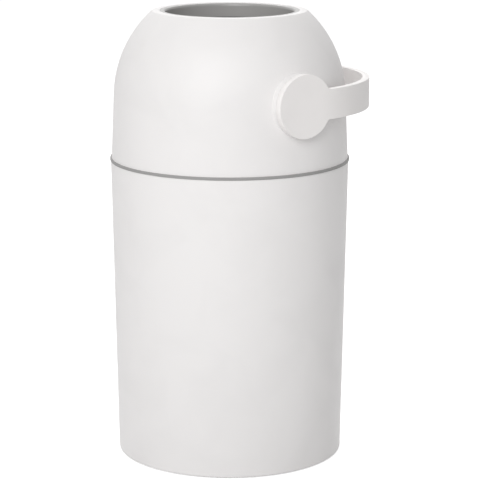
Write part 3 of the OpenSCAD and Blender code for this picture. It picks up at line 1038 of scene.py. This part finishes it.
class NAPPYBIN_OT_screws(bpy.types.Operator):
    """Makes the screws of the deck and of the two hubs"""

    bl_idname = "nappybin.screws"
    bl_label = "Screws"

    def execute(self, context):
        sizes = context.scene.bin_screws
        shared = {
            "Shank Radius": sizes.shank_r,
            "Head Edge": sizes.head_edge,
            "Cross Width": sizes.cross_w,
            "Cross Length": sizes.cross_l,
            "Cross Depth": sizes.cross_depth,
            "Material": zinc_plated_steel(),
        }
        deck_low, deck_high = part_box("deck_screws")
        head_h = sizes.deck_head
        head_r = 2 * sizes.shank_r
        half_step = math.pi / sizes.around_deck
        reach = deck_high[1] - head_r
        inputs = {
            "Shank Length": deck_high[2] - deck_low[2] - head_h,
            "Head Radius": head_r,
            "Head Height": head_h,
            "Place": (reach, 0, deck_low[2] + head_h),
            "Turn": (0, 0, 0),
            "Count": sizes.around_deck,
            "First Angle": half_step,
        }
        bake("deck_screw_set", screw_tree(), {**shared, **inputs}, "head", "steel", "deck_screws")
        for side, way in (("left", -1), ("right", 1)):
            node = f"hub_screw_{side}"
            low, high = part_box(node)
            inner = min(abs(low[0]), abs(high[0]))
            outer = max(abs(low[0]), abs(high[0]))
            head_h = sizes.hub_head
            inputs = {
                "Shank Length": outer - inner - head_h,
                "Head Radius": (high[2] - low[2]) / 2,
                "Head Height": head_h,
                "Place": (way * (inner + head_h), 0, (low[2] + high[2]) / 2),
                "Turn": (0, way * math.pi / 2, 0),
                "Count": 1,
                "First Angle": 0.0,
            }
            bake(f"{node}_turned", screw_tree(), {**shared, **inputs}, "rotor", "steel", node)
        return {"FINISHED"}


# Stage

def seen_directly(tree):
    """1 for the camera, and for what mirrors and glass show, and 0 where light is gathered."""
    path = tree.nodes.new("ShaderNodeLightPath").outputs
    seen = calc(tree, "MAXIMUM", path["Is Camera Ray"], path["Is Glossy Ray"])
    return calc(tree, "MAXIMUM", seen, path["Is Transmission Ray"])


def studio_sky(strength):
    """A plain studio light that the camera, and mirrors, see as white."""
    world = bpy.data.worlds.new("studio")
    bpy.context.scene.world = world
    world.use_nodes = True
    tree = world.node_tree
    tree.nodes.clear()
    light = add(tree, "ShaderNodeBackground", {"Color": (1, 1, 1, 1), "Strength": strength})
    white = add(tree, "ShaderNodeBackground", {"Color": (1, 1, 1, 1), "Strength": 1.0})
    mix = add(
        tree,
        "ShaderNodeMixShader",
        {0: seen_directly(tree), 1: light.outputs[0], 2: white.outputs[0]},
    )
    output = tree.nodes.new("ShaderNodeOutputWorld")
    tree.links.new(mix.outputs[0], output.inputs["Surface"])


def floor_material():
    """Pale floor that keeps the bin's shadow and is otherwise white to the camera."""
    stage = bpy.context.scene.bin_stage
    material, tree, shader = new_material("studio floor")
    shader.inputs["Base Color"].default_value = (stage.floor, stage.floor, stage.floor, 1)
    shader.inputs["Roughness"].default_value = 0.9
    shader.inputs["Specular IOR Level"].default_value = 0.0
    shader.inputs["Emission Color"].default_value = (1, 1, 1, 1)
    glow = calc(tree, "MULTIPLY", seen_directly(tree), stage.floor_white)
    tree.links.new(glow, shader.inputs["Emission Strength"])
    return material


def lamp(name, azimuth, elevation, power):
    """A large square lamp that looks at the middle of the bin."""
    stage = bpy.context.scene.bin_stage
    data = bpy.data.lights.new(name, "AREA")
    data.shape = "SQUARE"
    data.size = stage.lamp_size
    data.energy = power
    holder = bpy.data.objects.new(name, data)
    bpy.context.scene.collection.objects.link(holder)
    level = math.cos(elevation)
    away = Vector((math.sin(azimuth) * level, -math.cos(azimuth) * level, math.sin(elevation)))
    middle = Vector((0, 0, CAD_BOX[1][2] / 2))
    holder.location = middle + away * stage.lamp_away
    holder.rotation_euler = away.to_track_quat("Z", "Y").to_euler()


def studio_floor():
    """A plain level square under the bin."""
    half = FLOOR_HALF
    corners = [(-half, -half), (half, -half), (half, half), (-half, half)]
    mesh = bpy.data.meshes.new("studio floor")
    mesh.from_pydata([(x, y, -FLOOR_BELOW) for x, y in corners], [], [(0, 1, 2, 3)])
    mesh.materials.append(floor_material())
    floor = bpy.data.objects.new("studio floor", mesh)
    bpy.context.scene.collection.objects.link(floor)


class NAPPYBIN_OT_stage(bpy.types.Operator):
    """Makes the camera, the lamps, the studio light and the floor"""

    bl_idname = "nappybin.stage"
    bl_label = "Stage"

    def execute(self, context):
        scene = context.scene
        stage = scene.bin_stage
        scene.view_settings.view_transform = "Standard"
        data = bpy.data.cameras.new("camera")
        data.lens = stage.lens
        data.shift_x = stage.shift
        camera = bpy.data.objects.new("camera", data)
        scene.collection.objects.link(camera)
        level = Vector((math.sin(stage.azimuth), -math.cos(stage.azimuth), 0))
        camera.location = level * stage.distance + Vector((0, 0, stage.height))
        camera.rotation_euler = Euler((math.pi / 2 - stage.pitch, 0, stage.azimuth))
        scene.camera = camera

        lamp("key lamp", stage.key_azimuth, stage.key_up, stage.key)
        lamp("back lamp", stage.back_azimuth, stage.back_up, stage.back)
        studio_sky(stage.sky)
        studio_floor()
        return {"FINISHED"}


OPERATORS = [
    NAPPYBIN_OT_base,
    NAPPYBIN_OT_feet,
    NAPPYBIN_OT_dome,
    NAPPYBIN_OT_handle,
    NAPPYBIN_OT_grey_parts,
    NAPPYBIN_OT_rubber_parts,
    NAPPYBIN_OT_axle_parts,
    NAPPYBIN_OT_screws,
    NAPPYBIN_OT_stage,
]


class NAPPYBIN_PT_panel(bpy.types.Panel):
    """Lists the steps that make the bin, and the sizes and colours that they use"""

    bl_idname = "NAPPYBIN_PT_panel"
    bl_label = "Nappy Bin"
    bl_space_type = "VIEW_3D"
    bl_region_type = "UI"
    bl_category = "Nappy Bin"

    def draw(self, context):
        for operator in OPERATORS:
            self.layout.operator(operator.bl_idname, text=operator.bl_label)
        for name, group in SETTINGS.items():
            box = self.layout.box()
            values = getattr(context.scene, name)
            for setting in group.__annotations__:
                box.prop(values, setting)


CLASSES = [*SETTINGS.values(), *OPERATORS, NAPPYBIN_PT_panel]


def register():
    for cls in CLASSES:
        bpy.utils.register_class(cls)
    for name, group in SETTINGS.items():
        setattr(bpy.types.Scene, name, PointerProperty(type=group))


def unregister():
    for name in SETTINGS:
        delattr(bpy.types.Scene, name)
    for cls in reversed(CLASSES):
        bpy.utils.unregister_class(cls)


def main():
    register()
    for operator in OPERATORS:
        step = operator.bl_idname.split(".")[1]
        getattr(bpy.ops.nappybin, step)()


if __name__ == "__main__":
    main()
